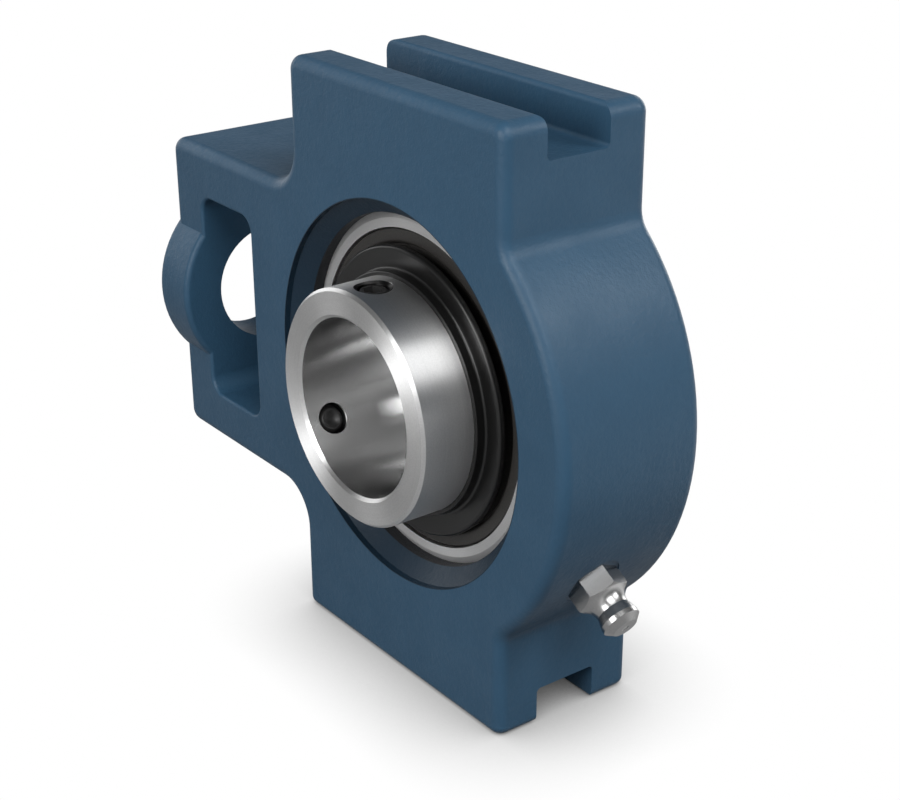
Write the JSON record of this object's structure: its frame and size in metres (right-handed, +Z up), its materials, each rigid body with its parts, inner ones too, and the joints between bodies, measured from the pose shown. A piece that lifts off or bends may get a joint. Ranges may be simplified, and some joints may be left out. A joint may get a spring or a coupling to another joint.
{
  "type": "take up bearing unit",
  "caption": "Cast take-up housing with guide grooves, a window and boss for a tension screw, and a self-aligning insert ball bearing with locking screws and a grease nipple.",
  "frame": {"origin": "centre of the bearing: on the shaft axis, in the middle plane of the housing", "axes": "+X away from the take-up screw block, -Y towards the locking screws, +Z up; the unit stands on its lower guide lands"},
  "size_m": [0.116, 0.0407, 0.102],
  "materials": {
    "housing_paint": "satin blue paint on a cast body",
    "ring_steel": "fine turned and ground steel",
    "outer_ring_steel": "ground steel",
    "ball_steel": "polished steel",
    "seal_rubber": "black moulded rubber",
    "flinger_black": "black coated pressed steel",
    "cage_plastic": "moulded polyamide",
    "nipple_zinc": "bright zinc plated steel",
    "spring_steel": "drawn spring wire",
    "screw_black": "black oxide"
  },
  "bodies": {
    "housing": {"housing": "housing_paint", "grease_nipple": "nipple_zinc", "nipple_spring": "spring_steel"},
    "outer_ring": {"outer_ring": "outer_ring_steel", "seal_front": "seal_rubber", "seal_rear": "seal_rubber"},
    "inner_ring": {"inner_ring": "ring_steel", "flinger_front": "flinger_black", "flinger_rear": "flinger_black"},
    "cage": {"cage": "cage_plastic"},
    "ball_1": {"ball_1": "ball_steel"},
    "ball_2": {"ball_2": "ball_steel"},
    "ball_3": {"ball_3": "ball_steel"},
    "ball_4": {"ball_4": "ball_steel"},
    "ball_5": {"ball_5": "ball_steel"},
    "ball_6": {"ball_6": "ball_steel"},
    "ball_7": {"ball_7": "ball_steel"},
    "ball_8": {"ball_8": "ball_steel"},
    "ball_9": {"ball_9": "ball_steel"},
    "locking_screw_1": {"locking_screw_1": "screw_black"},
    "locking_screw_2": {"locking_screw_2": "screw_black"},
    "check_ball": {"nipple_check_ball": "ball_steel"}
  },
  "joints": [
    {"name": "swivel", "type": "hinge", "parent": "housing", "child": "outer_ring", "pos_m": [0, 0, 0], "axis": [0, 0, 1], "range_deg": [-2, 2]},
    {"name": "shaft_spin", "type": "hinge", "parent": "outer_ring", "child": "inner_ring", "pos_m": [0, 0, 0], "axis": [0, 1, 0], "continuous": true},
    {"name": "cage_orbit", "type": "hinge", "parent": "outer_ring", "child": "cage", "pos_m": [0, 0, 0], "axis": [0, 1, 0], "continuous": true},
    {"name": "ball_1_spin", "type": "hinge", "parent": "cage", "child": "ball_1", "pos_m": [0, 0, 0.023], "axis": [0, 1, 0], "continuous": true},
    {"name": "ball_2_spin", "type": "hinge", "parent": "cage", "child": "ball_2", "pos_m": [-0.01478, 0, 0.01762], "axis": [0, 1, 0], "continuous": true},
    {"name": "ball_3_spin", "type": "hinge", "parent": "cage", "child": "ball_3", "pos_m": [-0.02265, 0, 0.00399], "axis": [0, 1, 0], "continuous": true},
    {"name": "ball_4_spin", "type": "hinge", "parent": "cage", "child": "ball_4", "pos_m": [-0.01992, 0, -0.0115], "axis": [0, 1, 0], "continuous": true},
    {"name": "ball_5_spin", "type": "hinge", "parent": "cage", "child": "ball_5", "pos_m": [-0.00787, 0, -0.02161], "axis": [0, 1, 0], "continuous": true},
    {"name": "ball_6_spin", "type": "hinge", "parent": "cage", "child": "ball_6", "pos_m": [0.00787, 0, -0.02161], "axis": [0, 1, 0], "continuous": true},
    {"name": "ball_7_spin", "type": "hinge", "parent": "cage", "child": "ball_7", "pos_m": [0.01992, 0, -0.0115], "axis": [0, 1, 0], "continuous": true},
    {"name": "ball_8_spin", "type": "hinge", "parent": "cage", "child": "ball_8", "pos_m": [0.02265, 0, 0.00399], "axis": [0, 1, 0], "continuous": true},
    {"name": "ball_9_spin", "type": "hinge", "parent": "cage", "child": "ball_9", "pos_m": [0.01478, 0, 0.01762], "axis": [0, 1, 0], "continuous": true},
    {"name": "locking_screw_1_travel", "type": "slide", "parent": "inner_ring", "child": "locking_screw_1", "axis": [0, 0, -1], "range_m": [-0.002, 0.0005]},
    {"name": "locking_screw_2_travel", "type": "slide", "parent": "inner_ring", "child": "locking_screw_2", "axis": [0.866, 0, 0.5], "range_m": [-0.002, 0.0005]},
    {"name": "check_ball_travel", "type": "slide", "parent": "housing", "child": "check_ball", "axis": [-0.8616, 0, 0.5075], "range_m": [0, 0.001], "stiffness_N_per_m": 200, "springref_m": -0.0005, "deforming": ["nipple_spring"]}
  ],
  "couplings": [
    {"joint": "cage_orbit", "follows": "shaft_spin", "ratio": 0.39647},
    {"joint": "ball_1_spin", "follows": "shaft_spin", "ratio": -2.3112},
    {"joint": "ball_2_spin", "follows": "shaft_spin", "ratio": -2.3112},
    {"joint": "ball_3_spin", "follows": "shaft_spin", "ratio": -2.3112},
    {"joint": "ball_4_spin", "follows": "shaft_spin", "ratio": -2.3112},
    {"joint": "ball_5_spin", "follows": "shaft_spin", "ratio": -2.3112},
    {"joint": "ball_6_spin", "follows": "shaft_spin", "ratio": -2.3112},
    {"joint": "ball_7_spin", "follows": "shaft_spin", "ratio": -2.3112},
    {"joint": "ball_8_spin", "follows": "shaft_spin", "ratio": -2.3112},
    {"joint": "ball_9_spin", "follows": "shaft_spin", "ratio": -2.3112}
  ]
}
